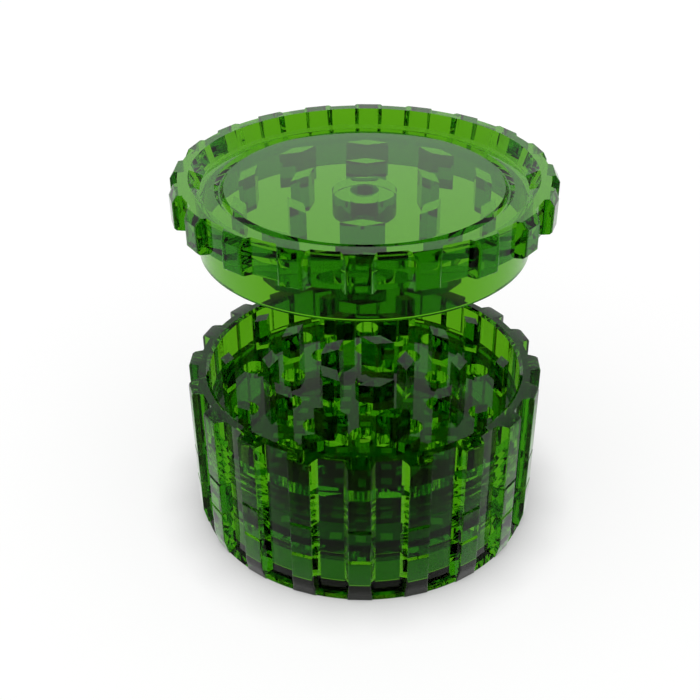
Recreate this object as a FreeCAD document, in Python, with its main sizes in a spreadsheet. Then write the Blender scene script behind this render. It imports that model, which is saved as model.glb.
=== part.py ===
import FreeCAD, Part
import math
import os
import PartDesign
import Sketcher
from FreeCAD import Placement, Rotation, Vector

# Hand grinder for herbs and spices, four clear mouldings in one stack.
# The axis of the stack is Z, the foot stands on z = 0 and the front is -Y.
# Lengths are in millimetres. The lid is held clear of the body.

doc = FreeCAD.newDocument("herb_grinder")
sheet = doc.addObject("Spreadsheet::Sheet", "Sizes")

SIZES = [
    # ribbed outside, shared by all four mouldings
    ("rib_count", 20, "ribs round the outside"),
    ("rib_radius", 30.0, "axis to the flat of a rib"),
    ("rib_height", 1.75, "flat of a rib above the groove beside it"),
    ("rib_top_width", 3.5, "width of a rib on its flat"),
    ("rib_root_width", 5.4, "width of a rib at its root"),
    ("rib_root_sink", 0.6, "how far a rib is rooted in its wall"),
    ("rim_bevel", 0.5, "bevel on the ribs round a rim"),
    ("seam_gap", 0.05, "air between two seated mouldings"),
    # base cup
    ("base_height", 8.8, "foot to the rim of the base cup"),
    ("base_floor", 1.6, "floor of the base cup"),
    ("cup_space", 4.2, "clear height between cup floor and middle ring"),
    ("cup_corner", 1.0, "bevel between cup floor and cup wall"),
    ("foot_bevel_height", 2.7, "height of the band and bevel round the foot"),
    ("foot_bevel_inset", 0.6, "depth of the bevel round the foot"),
    ("foot_band_rise", 0.55, "foot band above the groove between ribs"),
    # screwed joints
    ("thread_wall", 2.05, "wall outside a threaded bore"),
    ("thread_clearance", 0.3, "spigot to bore, without the thread"),
    ("spigot_wall", 1.7, "wall of a spigot"),
    ("spigot_end_gap", 0.4, "end of the upper spigot to the chamber floor"),
    # middle ring and sieve
    ("middle_height", 6.15, "ribbed height of the middle ring"),
    ("sieve_lip_width", 1.4, "lip that the screen lies on"),
    ("sieve_lip_height", 0.8, "thickness of that lip"),
    ("sieve_clearance", 0.1, "screen and its ring to the bore they lie in"),
    ("sieve_seat_gap", 0.05, "lip to screen, and screen to ring"),
    ("screen_thickness", 0.3, "thickness of the screen"),
    ("screen_pitch", 4.0, "gap to gap in the screen"),
    ("screen_bar", 2.1, "bar between two gaps"),
    ("screen_border", 0.5, "plain border inside the ring"),
    ("sieve_ring_width", 1.3, "width of the ring that holds the screen"),
    ("sieve_ring_height", 1.0, "height of that ring"),
    # grinding chamber
    ("chamber_height", 12.27, "ribbed height of the grinding chamber"),
    ("chamber_wall", 1.75, "wall beside the grinding room"),
    ("bore_bevel", 0.5, "bevel on the inner edge of the rim"),
    ("grind_depth", 6.02, "rim of the chamber to its floor"),
    ("chamber_floor", 2.2, "floor that carries the teeth"),
    ("hole_radius", 2.1, "drop hole"),
    ("hole_count", 10, "drop holes in a circle"),
    ("inner_hole_offset", 2.8, "inner circle of holes, inside the middle teeth"),
    ("outer_hole_offset", 4.7, "outer circle of holes, outside the middle teeth"),
    # teeth, rhombic in plan, in circles that pass between each other
    ("inner_tooth_width", 6.2, "inner chamber tooth, round its circle"),
    ("inner_tooth_depth", 3.0, "the same tooth, along the radius"),
    ("middle_tooth_width", 5.8, "middle chamber tooth, round its circle"),
    ("middle_tooth_depth", 2.8, "the same tooth, along the radius"),
    ("edge_tooth_width", 3.9, "outer chamber tooth, round its circle"),
    ("edge_tooth_depth", 2.3, "the same tooth, along the radius"),
    ("lid_inner_tooth_width", 6.7, "inner lid tooth, round its circle"),
    ("lid_inner_tooth_depth", 2.4, "the same tooth, along the radius"),
    ("lid_outer_tooth_width", 7.2, "outer lid tooth, round its circle"),
    ("lid_outer_tooth_depth", 2.4, "the same tooth, along the radius"),
    ("chamber_tooth_height", 6.0, "chamber floor to the top of a tooth"),
    ("lid_tooth_length", 5.95, "lid plate to the end of a tooth"),
    ("inner_tooth_count", 5, "teeth in the inner circle of the chamber"),
    ("middle_tooth_count", 10, "teeth in the middle circle of the chamber"),
    ("edge_tooth_count", 10, "teeth in the outer circle of the chamber"),
    ("lid_inner_count", 6, "teeth in the inner circle of the lid"),
    ("lid_outer_count", 10, "teeth in the outer circle of the lid"),
    ("hub_tooth_gap", 0.55, "lid hub to the inner teeth of the chamber"),
    ("inner_tooth_gap", 1.9, "those teeth to the inner teeth of the lid"),
    ("middle_tooth_gap", 1.9, "those teeth to the middle teeth of the chamber"),
    ("outer_tooth_gap", 1.1, "those teeth to the outer teeth of the lid"),
    ("edge_tooth_gap", 1.35, "those teeth to the outer teeth of the chamber"),
    # pivot
    ("pin_radius", 1.6, "pivot pin"),
    ("pin_fit", 0.03, "pin to its hole in the chamber floor"),
    ("pin_seat_depth", 1.6, "depth of that hole"),
    ("pin_stand", 2.2, "pin above the chamber floor"),
    ("pin_bevel", 0.4, "bevel at the tip of the pin"),
    ("bush_clearance", 0.2, "pin to the bore of the bush"),
    ("bush_wall", 0.4, "wall of the bush"),
    ("bush_length", 4.45, "length of the bush"),
    ("bush_fit", 0.05, "bush to the bore of the lid hub"),
    ("hub_wall", 2.8, "wall of the lid hub"),
    ("hub_length", 3.9, "lid plate to the end of the hub"),
    # lid
    ("lid_lift", 28.95, "height of the lid above its closed place"),
    ("lid_rest_gap", 0.1, "end of the skirt to the chamber floor, lid closed"),
    ("lid_rim_height", 5.66, "height of the lid's lugs"),
    ("lug_height", 1.4, "flat of a lug above the lid's rim wall"),
    ("lid_rim_wall", 1.6, "width of the rim's top face between lugs"),
    ("dish_slope", 1.6, "slope of the dish wall, along the radius"),
    ("lug_bevel_width", 0.8, "bevel on top of a lug, along the radius"),
    ("lug_bevel_height", 1.3, "bevel on top of a lug, along the axis"),
    ("lid_plate_drop", 0.45, "foot of the lugs down to the under face of the plate"),
    ("lid_plate_thickness", 3.85, "sunken plate"),
    ("skirt_clearance", 0.3, "skirt to the bore of the chamber"),
    ("skirt_wall", 1.0, "wall of the skirt"),
    ("skirt_length", 6.45, "foot of the lugs to the end of the skirt"),
    ("ring_groove_radius", 22.5, "plain round groove in the plate"),
    ("ring_groove_width", 1.4, "width of that groove"),
    ("ring_groove_depth", 0.6, "depth of that groove"),
]

for row, (alias, number, meaning) in enumerate(SIZES, start=1):
    sheet.set(f"A{row}", meaning)
    sheet.set(f"B{row}", str(number))
    sheet.setAlias(f"B{row}", alias)
doc.recompute()


class Size:
    """A formula over the sheet, with its present value."""

    def __init__(self, formula, value):
        self.formula = formula
        self.value = value

    def join(self, sign, other, value):
        return Size(f"({self.formula} {sign} {other.formula})", value)

    def __add__(self, other):
        return self.join("+", other, self.value + other.value)

    def __sub__(self, other):
        return self.join("-", other, self.value - other.value)

    def __neg__(self):
        return Size(f"(-1 * {self.formula})", -self.value)

    def half(self):
        return Size(f"({self.formula} / 2)", self.value / 2)

    def twice(self):
        return Size(f"({self.formula} * 2)", self.value * 2)


def size(alias):
    return Size(f"Sizes.{alias}", float(getattr(sheet, alias)))


ZERO = Size("0", 0.0)

# radii
rib = size("rib_radius")
groove = rib - size("rib_height")
thread_bore = groove - size("thread_wall")
spigot = thread_bore - size("thread_clearance")
spigot_bore = spigot - size("spigot_wall")
lip = spigot_bore - size("sieve_lip_width")
sieve_edge = spigot_bore - size("sieve_clearance")
chamber_bore = groove - size("chamber_wall")
pin = size("pin_radius")
pin_hole = pin + size("pin_fit")
bush_bore = pin + size("bush_clearance")
bush = bush_bore + size("bush_wall")
hub_bore = bush + size("bush_fit")
hub = hub_bore + size("hub_wall")
skirt = chamber_bore - size("skirt_clearance")
skirt_bore = skirt - size("skirt_wall")
lid_wall = rib - size("lug_height")
lid_recess = lid_wall - size("lid_rim_wall")
dish = lid_recess - size("dish_slope")
foot_band = groove + size("foot_band_rise")

# circles of teeth, from the axis outwards
inner_half = size("inner_tooth_depth").half()
middle_half = size("middle_tooth_depth").half()
edge_half = size("edge_tooth_depth").half()
lid_inner_half = size("lid_inner_tooth_depth").half()
lid_outer_half = size("lid_outer_tooth_depth").half()
inner_circle = hub + size("hub_tooth_gap") + inner_half
lid_inner_circle = inner_circle + inner_half + size("inner_tooth_gap") + lid_inner_half
middle_circle = lid_inner_circle + lid_inner_half + size("middle_tooth_gap") + middle_half
lid_outer_circle = middle_circle + middle_half + size("outer_tooth_gap") + lid_outer_half
edge_circle = lid_outer_circle + lid_outer_half + size("edge_tooth_gap") + edge_half

# heights in the stack
seam = size("seam_gap")
base_top = size("base_height")
middle_foot = size("base_floor") + size("cup_space")
flange_foot = base_top + seam - middle_foot
flange_top = flange_foot + size("middle_height")
chamber_foot = base_top + seam + size("middle_height") + seam
chamber_top = size("chamber_height")
floor_top = chamber_top - size("grind_depth")
floor_under = floor_top - size("chamber_floor")
spigot_top = flange_top + seam + floor_under - size("spigot_end_gap")
screen_foot = middle_foot + size("sieve_lip_height") + size("sieve_seat_gap")
sieve_ring_foot = screen_foot + size("screen_thickness") + size("sieve_seat_gap")
pin_foot = floor_top - size("pin_seat_depth") + seam
skirt_end = chamber_foot + floor_top + size("lid_rest_gap") + size("lid_lift")
rim_foot = size("skirt_length")
rim_top = rim_foot + size("lid_rim_height")
plate_under = rim_foot - size("lid_plate_drop")
plate_top = plate_under + size("lid_plate_thickness")
hub_end = plate_under - size("hub_length")
bush_foot = skirt_end + plate_under - seam - size("bush_length")


def new_body(label, foot):
    """An empty body whose own zero stands at the height foot in the stack."""
    body = doc.addObject("PartDesign::Body", label)
    body.Label = label
    body.Placement = Placement(Vector(0, 0, foot.value), Rotation())
    body.setExpression("Placement.Base.z", foot.formula)
    return body


def origin_plane(body, role):
    for feature in body.Origin.OriginFeatures:
        if feature.Role == role:
            return feature
    raise ValueError(role)


def new_sketch(body, name, role, lift=None, half_pitch_of=None):
    """A sketch on an origin plane, raised by lift and turned by half a pitch."""
    sketch = body.newObject("Sketcher::SketchObject", name)
    sketch.AttachmentSupport = [(origin_plane(body, role), "")]
    sketch.MapMode = "FlatFace"
    turn = Rotation()
    if half_pitch_of is not None:
        turn = Rotation(Vector(0, 0, 1), 180.0 / size(half_pitch_of).value)
    height = 0.0 if lift is None else lift.value
    sketch.AttachmentOffset = Placement(Vector(0, 0, height), turn)
    if lift is not None:
        sketch.setExpression("AttachmentOffset.Base.z", lift.formula)
    if half_pitch_of is not None:
        sketch.setExpression("AttachmentOffset.Rotation.Angle", f"180 / Sizes.{half_pitch_of}")
    return sketch


def pin_point(sketch, line, end, across, along):
    """Hold one end of a line at two distances from the sketch's origin."""
    if across is ZERO and along is ZERO:
        sketch.addConstraint(Sketcher.Constraint("Coincident", line, end, -1, 1))
        return
    if across is ZERO:
        sketch.addConstraint(Sketcher.Constraint("PointOnObject", line, end, -2))
    else:
        held = sketch.addConstraint(Sketcher.Constraint("DistanceX", -1, 1, line, end, across.value))
        sketch.setExpression(f"Constraints[{held}]", across.formula)
    if along is ZERO:
        sketch.addConstraint(Sketcher.Constraint("PointOnObject", line, end, -1))
    else:
        held = sketch.addConstraint(Sketcher.Constraint("DistanceY", -1, 1, line, end, along.value))
        sketch.setExpression(f"Constraints[{held}]", along.formula)


def draw_outline(sketch, corners):
    """A closed outline of straight lines through the corners."""
    points = [Vector(across.value, along.value, 0) for across, along in corners]
    count = len(points)
    for index in range(count):
        sketch.addGeometry(Part.LineSegment(points[index], points[(index + 1) % count]), False)
    for index in range(count):
        sketch.addConstraint(Sketcher.Constraint("Coincident", index, 2, (index + 1) % count, 1))
    for index, (across, along) in enumerate(corners):
        pin_point(sketch, index, 1, across, along)


def revolve(body, name, corners, cut=False):
    """Turn a half section about the axis, as a solid or as a cut."""
    sketch = new_sketch(body, name + "_section", "XZ_Plane")
    draw_outline(sketch, corners)
    kind = "PartDesign::Groove" if cut else "PartDesign::Revolution"
    feature = body.newObject(kind, name)
    feature.Profile = sketch
    feature.ReferenceAxis = (sketch, ["V_Axis"])
    feature.Angle = 360
    sketch.Visibility = False
    body.Tip = feature
    doc.recompute()
    return feature


def around(body, feature, sketch, name, count_alias):
    """Repeat a feature evenly about the axis."""
    pattern = body.newObject("PartDesign::PolarPattern", name)
    pattern.Originals = [feature]
    pattern.Axis = (sketch, ["N_Axis"])
    pattern.Angle = 360
    pattern.Occurrences = int(size(count_alias).value)
    pattern.setExpression("Occurrences", f"Sizes.{count_alias}")
    body.Tip = pattern
    doc.recompute()
    return pattern


def pad(body, sketch, name, length):
    feature = body.newObject("PartDesign::Pad", name)
    feature.Profile = sketch
    feature.Length = length.value
    feature.setExpression("Length", length.formula)
    body.Tip = feature
    doc.recompute()
    return feature


def ribs(body, name, foot, length, wall):
    """Tapered upright ribs, rooted in the wall of the given radius."""
    sketch = new_sketch(body, name + "_plan", "XY_Plane", foot)
    root = wall - size("rib_root_sink")
    root_half = size("rib_root_width").half()
    top_half = size("rib_top_width").half()
    corners = [(root, -root_half), (rib, -top_half), (rib, top_half), (root, root_half)]
    draw_outline(sketch, corners)
    first = pad(body, sketch, name + "_first", length)
    around(body, first, sketch, name, "rib_count")


def teeth(body, name, kind, foot, length, circle, count_alias, between=False):
    """A circle of teeth that are rhombic in plan, with the width and depth of their kind."""
    sketch = new_sketch(body, name + "_plan", "XY_Plane", foot, count_alias if between else None)
    side = size(kind + "_tooth_width").half()
    deep = size(kind + "_tooth_depth").half()
    corners = [(circle - deep, ZERO), (circle, -side), (circle + deep, ZERO), (circle, side)]
    draw_outline(sketch, corners)
    first = pad(body, sketch, name + "_first", length)
    around(body, first, sketch, name, count_alias)


def holes(body, name, top, depth, circle, radius, count_alias=None, between=False):
    """Round holes from a level down, one on the axis or a circle of them."""
    sketch = new_sketch(body, name + "_plan", "XY_Plane", top, count_alias if between else None)
    sketch.addGeometry(Part.Circle(Vector(circle.value, 0, 0), Vector(0, 0, 1), radius.value), False)
    pin_point(sketch, 0, 3, circle, ZERO)
    held = sketch.addConstraint(Sketcher.Constraint("Radius", 0, radius.value))
    sketch.setExpression(f"Constraints[{held}]", radius.formula)
    before = body.Shape.Volume
    cut = body.newObject("PartDesign::Pocket", name + "_first")
    cut.Profile = sketch
    cut.Length = depth.value
    cut.setExpression("Length", depth.formula)
    body.Tip = cut
    doc.recompute()
    if body.Shape.Volume >= before:
        raise ValueError(name + " cuts nothing")
    if count_alias is not None:
        around(body, cut, sketch, name, count_alias)


def bevel(body, name, radius, level, width, height):
    """Slope the outer corner at a level: up for a foot, down for a rim."""
    out = radius + width
    end = level + height.twice()
    before = body.Shape.Volume
    revolve(body, name, [(radius - width, level), (out, level), (out, end)], cut=True)
    if body.Shape.Volume >= before:
        raise ValueError(name + " cuts nothing")


# base cup: ribbed wall, flat floor, bevelled foot with a band between the ribs
base_cup = new_body("base_cup", ZERO)
corner = size("cup_corner")
revolve(base_cup, "base_shell", [
    (ZERO, ZERO),
    (foot_band, ZERO),
    (foot_band, size("foot_bevel_height")),
    (groove, size("foot_bevel_height")),
    (groove, base_top),
    (thread_bore, base_top),
    (thread_bore, size("base_floor") + corner),
    (thread_bore - corner, size("base_floor")),
    (ZERO, size("base_floor")),
])
ribs(base_cup, "base_ribs", ZERO, base_top, groove)
bevel(base_cup, "foot_bevel", rib, ZERO, size("foot_bevel_inset"), size("foot_bevel_height"))
rim = size("rim_bevel")
bevel(base_cup, "base_rim_bevel", rib, base_top, rim, -rim)

# middle ring: ribbed flange, a spigot down into the base and one up into the chamber
middle_ring = new_body("middle_ring", middle_foot)
revolve(middle_ring, "middle_shell", [
    (lip, ZERO),
    (spigot, ZERO),
    (spigot, flange_foot),
    (groove, flange_foot),
    (groove, flange_top),
    (spigot, flange_top),
    (spigot, spigot_top),
    (spigot_bore, spigot_top),
    (spigot_bore, size("sieve_lip_height")),
    (lip, size("sieve_lip_height")),
])
ribs(middle_ring, "middle_ribs", flange_foot, size("middle_height"), groove)
bevel(middle_ring, "middle_rim_bevel", rib, flange_top, rim, -rim)

# ring that holds the screen down on the lip
sieve_ring = new_body("sieve_ring", sieve_ring_foot)
sieve_ring_bore = sieve_edge - size("sieve_ring_width")
revolve(sieve_ring, "sieve_hoop", [
    (sieve_ring_bore, ZERO),
    (sieve_edge, ZERO),
    (sieve_edge, size("sieve_ring_height")),
    (sieve_ring_bore, size("sieve_ring_height")),
])

# grinding chamber: ribbed wall, holed floor with three circles of teeth
grinding_chamber = new_body("grinding_chamber", chamber_foot)
bore_bevel = size("bore_bevel")
revolve(grinding_chamber, "chamber_shell", [
    (ZERO, floor_under),
    (thread_bore, floor_under),
    (thread_bore, ZERO),
    (groove, ZERO),
    (groove, chamber_top),
    (chamber_bore + bore_bevel, chamber_top),
    (chamber_bore, chamber_top - bore_bevel),
    (chamber_bore, floor_top),
    (ZERO, floor_top),
])
ribs(grinding_chamber, "chamber_ribs", ZERO, chamber_top, groove)
bevel(grinding_chamber, "chamber_rim_bevel", rib, chamber_top, rim, -rim)
floor = size("chamber_floor")
drop = size("hole_radius")
inner_holes = middle_circle - size("inner_hole_offset")
outer_holes = middle_circle + size("outer_hole_offset")
holes(grinding_chamber, "inner_holes", floor_top, floor, inner_holes, drop, "hole_count", True)
holes(grinding_chamber, "outer_holes", floor_top, floor, outer_holes, drop, "hole_count", True)
holes(grinding_chamber, "pin_seat", floor_top, size("pin_seat_depth"), ZERO, pin_hole)
stand = size("chamber_tooth_height")
teeth(grinding_chamber, "inner_teeth", "inner", floor_top, stand, inner_circle, "inner_tooth_count")
teeth(grinding_chamber, "middle_teeth", "middle", floor_top, stand, middle_circle, "middle_tooth_count")
teeth(grinding_chamber, "edge_teeth", "edge", floor_top, stand, edge_circle, "edge_tooth_count")

# pivot pin, seated in the middle of the chamber floor
pivot_pin = new_body("pivot_pin", chamber_foot + pin_foot)
pin_top = size("pin_seat_depth") - seam + size("pin_stand")
revolve(pivot_pin, "pin_turning", [
    (ZERO, ZERO),
    (pin, ZERO),
    (pin, pin_top - size("pin_bevel")),
    (pin - size("pin_bevel"), pin_top),
    (ZERO, pin_top),
])

# bush that lines the hub of the lid, bored for the pin
pivot_bush = new_body("pivot_bush", bush_foot)
revolve(pivot_bush, "bush_turning", [
    (bush_bore, ZERO),
    (bush, ZERO),
    (bush, size("bush_length")),
    (bush_bore, size("bush_length")),
])

# lid: lugged rim, sunken plate, skirt, hub and two circles of hanging teeth
lid = new_body("lid", skirt_end)
revolve(lid, "lid_shell", [
    (ZERO, plate_under),
    (hub_bore, plate_under),
    (hub_bore, hub_end),
    (hub, hub_end),
    (hub, plate_under),
    (skirt_bore, plate_under),
    (skirt_bore, ZERO),
    (skirt, ZERO),
    (skirt, rim_foot),
    (lid_wall, rim_foot),
    (lid_wall, rim_top),
    (lid_recess, rim_top),
    (dish, plate_top),
    (ZERO, plate_top),
])
ribs(lid, "lid_lugs", rim_foot, size("lid_rim_height"), lid_wall)
bevel(lid, "lug_bevel", rib, rim_top, size("lug_bevel_width"), -size("lug_bevel_height"))
tooth_end = plate_under - size("lid_tooth_length")
hang = size("lid_tooth_length")
teeth(lid, "lid_inner_teeth", "lid_inner", tooth_end, hang, lid_inner_circle, "lid_inner_count", True)
teeth(lid, "lid_outer_teeth", "lid_outer", tooth_end, hang, lid_outer_circle, "lid_outer_count", True)
ring_in = size("ring_groove_radius") - size("ring_groove_width").half()
ring_out = size("ring_groove_radius") + size("ring_groove_width").half()
ring_bed = plate_top - size("ring_groove_depth")
revolve(lid, "ring_groove", [
    (ring_in, ring_bed),
    (ring_out, ring_bed),
    (ring_out, plate_top),
    (ring_in, plate_top),
], cut=True)


def screen_shape():
    """A thin disc with square gaps on a grid, as many as its clear circle takes."""
    edge = sieve_edge.value
    clear = sieve_ring_bore.value - size("screen_border").value
    pitch = size("screen_pitch").value
    half_gap = (pitch - size("screen_bar").value) / 2
    steps = int(clear / pitch) + 1
    wires = [Part.Wire(Part.makeCircle(edge))]
    for column in range(-steps, steps + 1):
        for line in range(-steps, steps + 1):
            x = column * pitch
            y = line * pitch
            if math.hypot(abs(x) + half_gap, abs(y) + half_gap) > clear:
                continue
            ring = [(-1, -1), (1, -1), (1, 1), (-1, 1), (-1, -1)]
            wires.append(Part.makePolygon([Vector(x + a * half_gap, y + b * half_gap, 0) for a, b in ring]))
    face = Part.makeFace(wires, "Part::FaceMakerBullseye")
    return face.extrude(Vector(0, 0, size("screen_thickness").value))


# screen between the middle ring and the base cup
sieve_screen = doc.addObject("Part::Feature", "sieve_screen")
sieve_screen.Label = "sieve_screen"
sieve_screen.Shape = screen_shape()
sieve_screen.Placement = Placement(Vector(0, 0, screen_foot.value), Rotation())

doc.recompute()

pieces = [
    base_cup,
    sieve_screen,
    sieve_ring,
    middle_ring,
    pivot_pin,
    grinding_chamber,
    pivot_bush,
    lid,
]

for item in doc.Objects:
    if "Invalid" in item.State or "Error" in item.State:
        raise ValueError(item.Name + " failed")
for piece in pieces:
    shape = piece.Shape
    if shape.isNull() or not shape.isValid() or len(shape.Solids) != 1:
        raise ValueError(piece.Label + " is not one sound solid")

os.makedirs("parts", exist_ok=True)
for piece in pieces:
    piece.Shape.exportStep(os.path.join("parts", piece.Label + ".step"))
    box = piece.Shape.BoundBox
    print(piece.Label, round(piece.Shape.Volume, 1), round(box.ZMin, 2), round(box.ZMax, 2))
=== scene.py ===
import math

import bmesh
import bpy
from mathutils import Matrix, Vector


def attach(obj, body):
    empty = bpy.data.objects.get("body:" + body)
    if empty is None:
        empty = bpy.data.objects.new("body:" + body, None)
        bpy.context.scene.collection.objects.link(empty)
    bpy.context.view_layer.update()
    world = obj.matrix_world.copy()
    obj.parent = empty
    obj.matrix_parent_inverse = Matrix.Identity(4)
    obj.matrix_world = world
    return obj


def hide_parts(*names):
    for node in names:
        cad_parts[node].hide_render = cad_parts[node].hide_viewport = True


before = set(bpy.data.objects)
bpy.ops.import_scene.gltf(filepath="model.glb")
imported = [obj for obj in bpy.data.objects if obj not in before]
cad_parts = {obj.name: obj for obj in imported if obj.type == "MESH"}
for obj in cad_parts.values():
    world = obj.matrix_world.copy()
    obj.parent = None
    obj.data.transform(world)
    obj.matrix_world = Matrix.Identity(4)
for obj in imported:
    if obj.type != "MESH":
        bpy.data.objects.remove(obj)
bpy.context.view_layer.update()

scene = bpy.context.scene
MM = 0.001

# ribs, in millimetres like all sizes here
RIBS = 20
RIB = 30.0
GROOVE = 28.25
ROOT_HALF = 2.7
TOP_HALF = 1.75
SINK = 0.6
RIB_FILLET = 0.22
LUG_FILLET = 0.3
LEAST_FILLET = 0.02
FILLET_SHARE = 0.4
FLAT_SHARES = (0.0, 0.33, 0.66)
FLANK_SHARES = (0.66, 0.33)
CORNER_STEPS = 4
GROOVE_STEPS = 5

# seams and rims
SEAM = 0.05
SEAM_EDGE = 0.12
RIM_BEVEL = 0.5
RIM_ROUND = 0.3 * RIM_BEVEL

# threads
PITCH = 1.5
THREAD_DEPTH = 0.08
THREAD_STEP = 0.25
THREAD_FADE = 0.5
THREAD_MOUTH = 0.5
THREAD_NECK = 0.3
THREAD_BORE = 26.2
SPIGOT_ROOT = 25.9 - THREAD_DEPTH
SPIGOT_BORE = 24.2

# base cup; a foot level has its height, its share of the bevel and the rise of the groove
BASE_TOP = 8.8
BASE_FLOOR = 1.6
CUP_CORNER = 0.35
FOOT_HEIGHT = 2.7
FOOT_INSET = 0.6
FOOT_LEVELS = [(1.5, 0.45, 0.0), (0.6, 0.8, 0.6), (0.0, 1.0, 1.05)]

# grinding chamber; a circle of teeth has its count, its radius and a tooth's width and depth
FLANGE_FOOT = BASE_TOP + SEAM
FLANGE_TOP = FLANGE_FOOT + 6.15
CHAMBER_FOOT = FLANGE_TOP + SEAM
CHAMBER_TOP = CHAMBER_FOOT + 12.27
CHAMBER_BORE = 26.5
BORE_BEVEL = 0.5
FLOOR_TOP = CHAMBER_TOP - 6.02
FLOOR_UNDER = FLOOR_TOP - 2.2
HOLES = 10
HOLE = 2.1
HOLE_CIRCLES = (13.4, 20.9)
TOOTH_TOP = FLOOR_TOP + 6.0
CHAMBER_TEETH = [(5, 7.1, 6.2, 3.0), (10, 16.2, 5.8, 2.8), (10, 23.6, 3.9, 2.3)]

# middle ring
MIDDLE_FOOT = 5.8
LIP = 22.8
LIP_TOP = MIDDLE_FOOT + 0.8
SPIGOT_TOP = FLOOR_UNDER - 0.4

# sieve ring, on the screen
SEAT_GAP = 0.05
SCREEN = 0.3
SIEVE_RING = 24.1
SIEVE_RING_FOOT = LIP_TOP + SEAT_GAP + SCREEN + SEAT_GAP
SIEVE_RING_TOP = SIEVE_RING_FOOT + 1.0

# lid
RIM_FOOT = 56.8
RIM_TOP = 62.46
LID_WALL = 28.6
LUG_FOOT_BEVEL = 0.25
LUG_BEVEL_HEIGHT = 1.3
LUG_BEVEL_INSET = 0.8
LID_RECESS = 27.0
DISH = 25.4
PLATE_TOP = 60.2
PLATE_UNDER = 56.35
RING_GROOVE = 22.5
RING_GROOVE_HALF = 0.7
RING_GROOVE_BED_HALF = 0.12
RING_GROOVE_BED = PLATE_TOP - 0.6
SKIRT = 26.2
SKIRT_BORE = 25.2
SKIRT_END = 50.35
SMALL_BEVEL = 0.1
HUB = 5.05
HUB_BORE = 2.25
HUB_END = 52.45
LID_TOOTH_END = 50.4
LID_TEETH = [(6, 11.7, 6.7, 2.4), (10, 19.9, 7.2, 2.4)]

# pivot pin and bush
PIN = 1.6
PIN_BEVEL = 0.4
PIN_TOP = FLOOR_TOP + 2.2
PIN_HOLE = 1.63
PIN_HOLE_END = FLOOR_TOP - 1.6
BUSH = 2.2
BUSH_BORE = 1.8
BUSH_TOP = PLATE_UNDER - SEAM
BUSH_FOOT = BUSH_TOP - 4.45

# meshes
HOLE_POINTS = 40
ROUND_POINTS = 64
SHARP_ANGLE = math.radians(30)

# clear plastic
PLASTIC_TINT = (0.10, 0.35, 0.008)
PLASTIC_MIRROR_TINT = (0.05, 0.09, 0.02)
PLASTIC_INDEX = 1.45
PLASTIC_DEPTH_TINT = (0.4, 0.75, 0.1)
PLASTIC_DENSITY = 60.0

# floor and sky; a sky band has how far its direction leans towards SKY_FROM, and its light
FLOOR_HALF = 6.0
FLOOR_DROP = 0.0001
FLOOR_GREY = 0.36
FLOOR_GLOW = 0.66
# how far the floor's painted shadow reaches from the object, in metres
PAINTED_SHADOW_REACH = 0.01
SKY_STRENGTH = 2.3
SKY_FROM = (-0.08, -0.6, 0.8)
SKY_BANDS = [(0.0, 0.15), (0.3, 0.18), (0.4, 0.24), (0.54, 0.42), (0.62, 0.42), (0.72, 0.65), (1.0, 0.65)]
WHITE = (1, 1, 1, 1)

# camera, and how far a ray goes
CAMERA_YAW = math.radians(1.43)
CAMERA_BACK = 154.24
CAMERA_HEIGHT = 126.22
AIM_HEIGHT = 29.34
CAMERA_SENSOR = 36.0
CAMERA_LENS = 54.91
CAMERA_SHIFT = -0.0206
CAMERA_NEAR = 0.01
RAY_BOUNCES = 12
RAY_REFRACTIONS = 6


def rotate(points, turn):
    c, s = math.cos(turn), math.sin(turn)
    return [(x * c - y * s, x * s + y * c) for x, y in points]


def circle(x, y, radius, count):
    turns = [2 * math.pi * k / count for k in range(count)]
    return [(x + radius * math.cos(a), y + radius * math.sin(a)) for a in turns]


def rhombus(turn, radius, width, depth):
    corners = [(radius - depth / 2, 0), (radius, -width / 2), (radius + depth / 2, 0), (radius, width / 2)]
    return rotate(corners, turn)


def spread(count, between=False):
    """Even turns round the axis, from the X axis or from half a step past it."""
    start = math.pi / count if between else 0.0
    return [start + 2 * math.pi * k / count for k in range(count)]


def rib_plan(flat, wall, root, fillet):
    """The ribbed outline in plan, with the same number of points for any height of rib."""
    slope = (ROOT_HALF - TOP_HALF) / (RIB - root)
    flank = math.atan(slope)
    step = 2 * math.pi / RIBS
    flat_half = ROOT_HALF - (flat - root) * slope
    wall_half = ROOT_HALF - (wall - root) * slope
    wall_turn = math.asin(wall_half / wall)

    soft = min(fillet, max(LEAST_FILLET, (flat - wall) * FILLET_SHARE))
    centre_x = flat - soft
    centre_y = flat_half - soft / math.tan(math.pi / 4 + flank / 2)
    half = [(flat, flat_half * share) for share in FLAT_SHARES]
    for k in range(CORNER_STEPS + 1):
        a = (math.pi / 2 - flank) * k / CORNER_STEPS
        half.append((centre_x + soft * math.cos(a), centre_y + soft * math.sin(a)))
    top_x, top_y = half[-1]
    for share in FLANK_SHARES:
        half.append((wall + (top_x - wall) * share, wall_half + (top_y - wall_half) * share))
    for k in range(GROOVE_STEPS):
        a = wall_turn + (step / 2 - wall_turn) * k / GROOVE_STEPS
        half.append((wall * math.cos(a), wall * math.sin(a)))

    mirror = [(x, -y) for x, y in reversed(half[1:])]
    start = (wall * math.cos(step / 2), -wall * math.sin(step / 2))
    one = [start] + mirror + half
    return [point for rib in range(RIBS) for point in rotate(one, rib * step)]


def body_plan(flat, wall=GROOVE):
    return rib_plan(flat, wall, GROOVE - SINK, RIB_FILLET)


def lid_plan(flat):
    return rib_plan(flat, LID_WALL, LID_WALL - SINK, LUG_FILLET)


TURNS = [math.atan2(y, x) for x, y in body_plan(RIB)]


def ring(radius):
    """A circle with one point for each point of the ribbed outline."""
    return [(radius * math.cos(a), radius * math.sin(a)) for a in TURNS]


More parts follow.
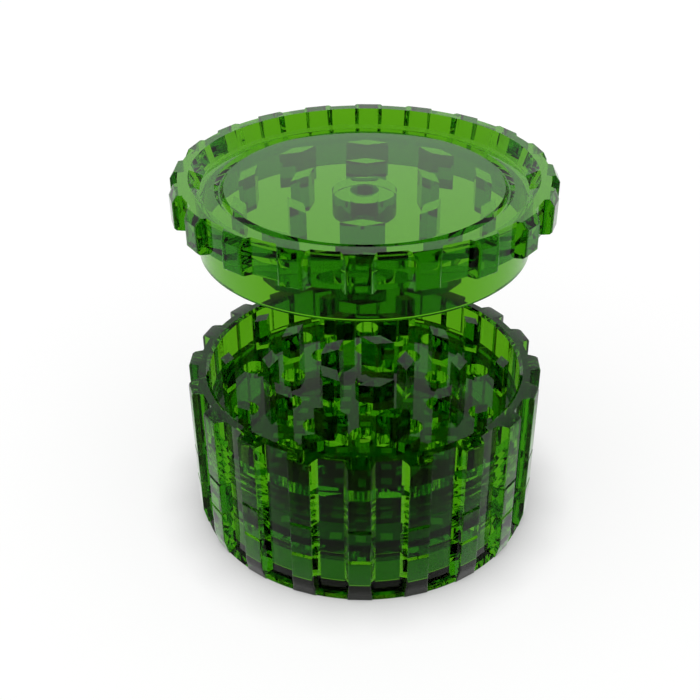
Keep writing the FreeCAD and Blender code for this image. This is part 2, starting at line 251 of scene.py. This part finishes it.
def thread_ring(base, depth, z):
    """Such a circle at one height of a thread, which is a helical wave on a round wall."""
    points = []
    for turn in TURNS:
        wave = 2 * math.pi * z / PITCH - turn
        radius = base + depth * (1 + math.cos(wave)) / 2
        points.append((radius * math.cos(turn), radius * math.sin(turn)))
    return points


def thread_levels(base, start, end):
    """Levels up or down a threaded wall, whose thread fades out at both ends."""
    levels = []
    count = round(abs(end - start) / THREAD_STEP)
    for k in range(1, count):
        z = start + (end - start) * k / count
        fade = min(1.0, abs(z - start) / THREAD_FADE, abs(end - z) / THREAD_FADE)
        levels.append((thread_ring(base, THREAD_DEPTH * fade, z), z))
    return levels


def clear_plastic(name):
    material = bpy.data.materials.new(name)
    material.use_nodes = True
    nodes = material.node_tree.nodes
    links = material.node_tree.links
    shader = nodes["Principled BSDF"]
    shader.inputs["Base Color"].default_value = (*PLASTIC_TINT, 1.0)
    shader.inputs["Roughness"].default_value = 0.0
    shader.inputs["IOR"].default_value = PLASTIC_INDEX
    shader.inputs["Specular Tint"].default_value = (*PLASTIC_MIRROR_TINT, 1.0)
    shader.inputs["Transmission Weight"].default_value = 1.0
    volume = nodes.new("ShaderNodeVolumeAbsorption")
    volume.inputs["Color"].default_value = (*PLASTIC_DEPTH_TINT, 1.0)
    volume.inputs["Density"].default_value = PLASTIC_DENSITY
    links.new(volume.outputs["Volume"], nodes["Material Output"].inputs["Volume"])
    return material


green = clear_plastic("clear_green")


class Maker:
    """Collects walls, caps and fills into one closed mesh of clear plastic."""

    def __init__(self):
        self.bm = bmesh.new()

    def loop(self, plan, z):
        return [self.bm.verts.new((x * MM, y * MM, z * MM)) for x, y in plan]

    def wall(self, low, high):
        count = len(low)
        for i in range(count):
            j = (i + 1) % count
            self.bm.faces.new((low[i], low[j], high[j], high[i]))

    def stack(self, levels, close=False):
        """Walls between the loops of all levels, and back to the first where it closes."""
        loops = [self.loop(plan, z) for plan, z in levels]
        for low, high in zip(loops, loops[1:]):
            self.wall(low, high)
        if close:
            self.wall(loops[-1], loops[0])
        return loops

    def cap(self, loop):
        self.bm.faces.new(loop)

    def post(self, plan, foot, end):
        """A wall from foot to end, capped at its end."""
        loops = self.stack([(plan, foot), (plan, end)])
        self.cap(loops[-1])
        return loops[0]

    def fill(self, outer, holes):
        """A flat face between one outer loop and the loops inside it."""
        edges = []
        for loop in [outer] + holes:
            count = len(loop)
            for i in range(count):
                pair = (loop[i], loop[(i + 1) % count])
                edges.append(self.bm.edges.get(pair) or self.bm.edges.new(pair))
        bmesh.ops.triangle_fill(self.bm, use_beauty=True, use_dissolve=False, edges=edges)

    def finish(self, name, body, node):
        bmesh.ops.recalc_face_normals(self.bm, faces=self.bm.faces[:])
        mesh = bpy.data.meshes.new(name)
        self.bm.to_mesh(mesh)
        self.bm.free()
        for polygon in mesh.polygons:
            polygon.use_smooth = True
        mesh.set_sharp_from_angle(angle=SHARP_ANGLE)
        mesh.materials.append(green)
        piece = bpy.data.objects.new(name, mesh)
        scene.collection.objects.link(piece)
        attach(piece, body)
        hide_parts(node)


def make_base_cup():
    m = Maker()
    loops = m.stack([
        (ring(THREAD_BORE - CUP_CORNER), BASE_FLOOR),
        (ring(THREAD_BORE), BASE_FLOOR + CUP_CORNER),
        (ring(THREAD_BORE), MIDDLE_FOOT - THREAD_NECK),
        *thread_levels(THREAD_BORE, MIDDLE_FOOT - THREAD_NECK, BASE_TOP - THREAD_MOUTH),
        (ring(THREAD_BORE), BASE_TOP - THREAD_MOUTH),
        (ring(THREAD_BORE), BASE_TOP),
        (body_plan(RIB - RIM_BEVEL), BASE_TOP),
        (body_plan(RIB), BASE_TOP - RIM_BEVEL),
        (body_plan(RIB), FOOT_HEIGHT),
        *[(body_plan(RIB - FOOT_INSET * share, GROOVE + rise), z) for z, share, rise in FOOT_LEVELS],
    ])
    m.cap(loops[0])
    m.cap(loops[-1])
    m.finish("base_cup_clear", "base", "base_cup")


def make_middle_ring():
    m = Maker()
    m.stack([
        (ring(LIP), MIDDLE_FOOT),
        (ring(SPIGOT_ROOT), MIDDLE_FOOT),
        *thread_levels(SPIGOT_ROOT, MIDDLE_FOOT, FLANGE_FOOT - THREAD_NECK),
        (ring(SPIGOT_ROOT), FLANGE_FOOT),
        (body_plan(RIB - SEAM_EDGE), FLANGE_FOOT),
        (body_plan(RIB), FLANGE_FOOT + SEAM_EDGE),
        (body_plan(RIB), FLANGE_TOP - RIM_BEVEL),
        (body_plan(RIB - RIM_BEVEL), FLANGE_TOP),
        (ring(SPIGOT_ROOT), FLANGE_TOP),
        *thread_levels(SPIGOT_ROOT, FLANGE_TOP + THREAD_NECK, SPIGOT_TOP),
        (ring(SPIGOT_ROOT), SPIGOT_TOP),
        (ring(SPIGOT_BORE), SPIGOT_TOP),
        (ring(SPIGOT_BORE), LIP_TOP),
        (ring(LIP), LIP_TOP),
    ], close=True)
    m.finish("middle_ring_clear", "ring", "middle_ring")


def make_grinding_chamber():
    m = Maker()
    loops = m.stack([
        (ring(THREAD_BORE), FLOOR_UNDER),
        *thread_levels(THREAD_BORE, FLOOR_UNDER, CHAMBER_FOOT + THREAD_MOUTH),
        (ring(THREAD_BORE), CHAMBER_FOOT + THREAD_MOUTH),
        (ring(THREAD_BORE), CHAMBER_FOOT),
        (body_plan(RIB - SEAM_EDGE), CHAMBER_FOOT),
        (body_plan(RIB), CHAMBER_FOOT + SEAM_EDGE),
        (body_plan(RIB), CHAMBER_TOP - RIM_BEVEL),
        (body_plan(RIB - RIM_ROUND), CHAMBER_TOP - RIM_ROUND),
        (body_plan(RIB - RIM_BEVEL), CHAMBER_TOP),
        (ring(CHAMBER_BORE + BORE_BEVEL), CHAMBER_TOP),
        (ring(CHAMBER_BORE), CHAMBER_TOP - BORE_BEVEL),
        (ring(CHAMBER_BORE), FLOOR_TOP),
    ])
    tops = []
    unders = []
    for radius in HOLE_CIRCLES:
        for turn in spread(HOLES, between=True):
            plan = circle(radius * math.cos(turn), radius * math.sin(turn), HOLE, HOLE_POINTS)
            top, under = m.stack([(plan, FLOOR_TOP), (plan, FLOOR_UNDER)])
            tops.append(top)
            unders.append(under)
    tops.append(m.post(circle(0, 0, PIN_HOLE, HOLE_POINTS), FLOOR_TOP, PIN_HOLE_END))
    for count, radius, width, depth in CHAMBER_TEETH:
        for turn in spread(count):
            tops.append(m.post(rhombus(turn, radius, width, depth), FLOOR_TOP, TOOTH_TOP))
    m.fill(loops[-1], tops)
    m.fill(loops[0], unders)
    m.finish("grinding_chamber_clear", "chamber", "grinding_chamber")


def make_lid():
    m = Maker()
    loops = m.stack([
        (ring(SKIRT_BORE), PLATE_UNDER),
        (ring(SKIRT_BORE), SKIRT_END + SMALL_BEVEL),
        (ring(SKIRT_BORE + SMALL_BEVEL), SKIRT_END),
        (ring(SKIRT - SMALL_BEVEL), SKIRT_END),
        (ring(SKIRT), SKIRT_END + SMALL_BEVEL),
        (ring(SKIRT), RIM_FOOT),
        (lid_plan(RIB - LUG_FOOT_BEVEL), RIM_FOOT),
        (lid_plan(RIB), RIM_FOOT + LUG_FOOT_BEVEL),
        (lid_plan(RIB), RIM_TOP - LUG_BEVEL_HEIGHT),
        (lid_plan(RIB - LUG_BEVEL_INSET), RIM_TOP),
        (ring(LID_RECESS), RIM_TOP),
        (ring(DISH), PLATE_TOP),
        (ring(RING_GROOVE + RING_GROOVE_HALF), PLATE_TOP),
        (ring(RING_GROOVE + RING_GROOVE_BED_HALF), RING_GROOVE_BED),
        (ring(RING_GROOVE - RING_GROOVE_BED_HALF), RING_GROOVE_BED),
        (ring(RING_GROOVE - RING_GROOVE_HALF), PLATE_TOP),
    ])
    m.cap(loops[-1])
    hub = m.stack([
        (circle(0, 0, HUB, ROUND_POINTS), PLATE_UNDER),
        (circle(0, 0, HUB, ROUND_POINTS), HUB_END + SMALL_BEVEL),
        (circle(0, 0, HUB - SMALL_BEVEL, ROUND_POINTS), HUB_END),
        (circle(0, 0, HUB_BORE, ROUND_POINTS), HUB_END),
        (circle(0, 0, HUB_BORE, ROUND_POINTS), PLATE_UNDER),
    ])
    m.cap(hub[-1])
    feet = [hub[0]]
    for count, radius, width, depth in LID_TEETH:
        for turn in spread(count, between=True):
            feet.append(m.post(rhombus(turn, radius, width, depth), PLATE_UNDER, LID_TOOTH_END))
    m.fill(loops[0], feet)
    m.finish("lid_clear", "lid", "lid")


def make_pivot_pin():
    m = Maker()
    loops = m.stack([
        (circle(0, 0, PIN, ROUND_POINTS), PIN_HOLE_END + SEAM),
        (circle(0, 0, PIN, ROUND_POINTS), PIN_TOP - PIN_BEVEL),
        (circle(0, 0, PIN - PIN_BEVEL, ROUND_POINTS), PIN_TOP),
    ])
    m.cap(loops[0])
    m.cap(loops[-1])
    m.finish("pivot_pin_clear", "pivot", "pivot_pin")


def make_tube(name, body, node, bore, radius, foot, top):
    m = Maker()
    m.stack([
        (circle(0, 0, bore, ROUND_POINTS), foot),
        (circle(0, 0, radius, ROUND_POINTS), foot),
        (circle(0, 0, radius, ROUND_POINTS), top),
        (circle(0, 0, bore, ROUND_POINTS), top),
    ], close=True)
    m.finish(name, body, node)


def dress_screen():
    """The screen is shown as the CAD made it, in the same plastic."""
    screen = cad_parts["sieve_screen"]
    screen.data.materials.clear()
    screen.data.materials.append(green)


make_base_cup()
make_middle_ring()
make_grinding_chamber()
make_lid()
make_pivot_pin()
make_tube("pivot_bush_clear", "bush", "pivot_bush", BUSH_BORE, BUSH, BUSH_FOOT, BUSH_TOP)
make_tube("sieve_ring_clear", "sieve", "sieve_ring", LIP, SIEVE_RING, SIEVE_RING_FOOT, SIEVE_RING_TOP)
dress_screen()


def seen(nodes, links):
    """1 for a ray that shows the background: from the camera, mirrored or through the plastic."""
    rays = nodes.new("ShaderNodeLightPath")
    total = rays.outputs["Is Camera Ray"]
    for kind in ("Is Glossy Ray", "Is Transmission Ray"):
        either = nodes.new("ShaderNodeMath")
        either.operation = "MAXIMUM"
        links.new(total, either.inputs[0])
        links.new(rays.outputs[kind], either.inputs[1])
        total = either.outputs["Value"]
    return total


def white_floor():
    """White that fades close to the foot: for camera rays its glow is darkened by ambient occlusion, a
    painted shadow where the object stands.
    """
    material = bpy.data.materials.new("floor_white")
    material.use_nodes = True
    nodes = material.node_tree.nodes
    links = material.node_tree.links
    shader = nodes["Principled BSDF"]
    shader.inputs["Base Color"].default_value = (FLOOR_GREY, FLOOR_GREY, FLOOR_GREY, 1)
    shader.inputs["Roughness"].default_value = 1.0
    shader.inputs["Specular IOR Level"].default_value = 0.0
    glow = nodes.new("ShaderNodeMath")
    glow.operation = "MULTIPLY"
    links.new(seen(nodes, links), glow.inputs[0])
    glow.inputs[1].default_value = FLOOR_GLOW
    links.new(glow.outputs["Value"], shader.inputs["Emission Strength"])
    # painted shadow: for camera rays the glow's colour goes from white to the ambient occlusion, darker
    # where the object stands close
    shade_occlusion = nodes.new("ShaderNodeAmbientOcclusion")
    shade_occlusion.inputs["Distance"].default_value = PAINTED_SHADOW_REACH
    rays = nodes.new("ShaderNodeLightPath")
    painted_shadow_mix = nodes.new("ShaderNodeMix")
    painted_shadow_mix.data_type = "RGBA"
    # a mix node's sockets for colours: factor 0, colours 6 and 7, result 2
    links.new(rays.outputs["Is Camera Ray"], painted_shadow_mix.inputs[0])
    painted_shadow_mix.inputs[6].default_value = WHITE
    links.new(shade_occlusion.outputs["Color"], painted_shadow_mix.inputs[7])
    links.new(painted_shadow_mix.outputs[2], shader.inputs["Emission Color"])
    return material


def make_floor():
    mesh = bpy.data.meshes.new("floor")
    corners = [(-1, -1), (1, -1), (1, 1), (-1, 1)]
    mesh.from_pydata([(x * FLOOR_HALF, y * FLOOR_HALF, 0) for x, y in corners], [], [(0, 1, 2, 3)])
    mesh.materials.append(white_floor())
    floor = bpy.data.objects.new("floor", mesh)
    floor.location.z = -FLOOR_DROP
    scene.collection.objects.link(floor)


def make_sky():
    """Soft light that grows towards SKY_FROM, before a white backdrop."""
    world = bpy.data.worlds.new("studio")
    scene.world = world
    world.use_nodes = True
    nodes = world.node_tree.nodes
    links = world.node_tree.links
    direction = nodes.new("ShaderNodeTexCoord")
    towards = nodes.new("ShaderNodeVectorMath")
    towards.operation = "DOT_PRODUCT"
    towards.inputs[1].default_value = Vector(SKY_FROM).normalized()
    ramp = nodes.new("ShaderNodeValToRGB")
    links.new(direction.outputs["Generated"], towards.inputs[0])
    links.new(towards.outputs["Value"], ramp.inputs["Fac"])
    stops = ramp.color_ramp.elements
    for k, (lean, light) in enumerate(SKY_BANDS):
        stop = stops[k] if k < len(stops) else stops.new(lean)
        stop.position = lean
        stop.color = (light, light, light, 1)
    sky = nodes["Background"]
    sky.inputs["Strength"].default_value = SKY_STRENGTH
    links.new(ramp.outputs["Color"], sky.inputs["Color"])
    backdrop = nodes.new("ShaderNodeBackground")
    backdrop.inputs["Color"].default_value = WHITE
    shown = nodes.new("ShaderNodeMixShader")
    links.new(seen(nodes, links), shown.inputs["Fac"])
    links.new(sky.outputs["Background"], shown.inputs[1])
    links.new(backdrop.outputs["Background"], shown.inputs[2])
    links.new(shown.outputs["Shader"], nodes["World Output"].inputs["Surface"])


def make_camera():
    lens = bpy.data.cameras.new("camera")
    lens.sensor_width = CAMERA_SENSOR
    lens.lens = CAMERA_LENS
    lens.shift_x = CAMERA_SHIFT
    lens.clip_start = CAMERA_NEAR
    camera = bpy.data.objects.new("camera", lens)
    scene.collection.objects.link(camera)
    place = (CAMERA_BACK * math.sin(CAMERA_YAW), -CAMERA_BACK * math.cos(CAMERA_YAW), CAMERA_HEIGHT)
    camera.location = Vector(place) * MM
    aim = Vector((0, 0, AIM_HEIGHT)) * MM - camera.location
    camera.rotation_euler = aim.to_track_quat("-Z", "Y").to_euler()
    scene.camera = camera


make_floor()
make_sky()
make_camera()

scene.view_settings.view_transform = "Standard"
scene.cycles.max_bounces = RAY_BOUNCES
scene.cycles.glossy_bounces = RAY_BOUNCES
scene.cycles.transmission_bounces = RAY_REFRACTIONS
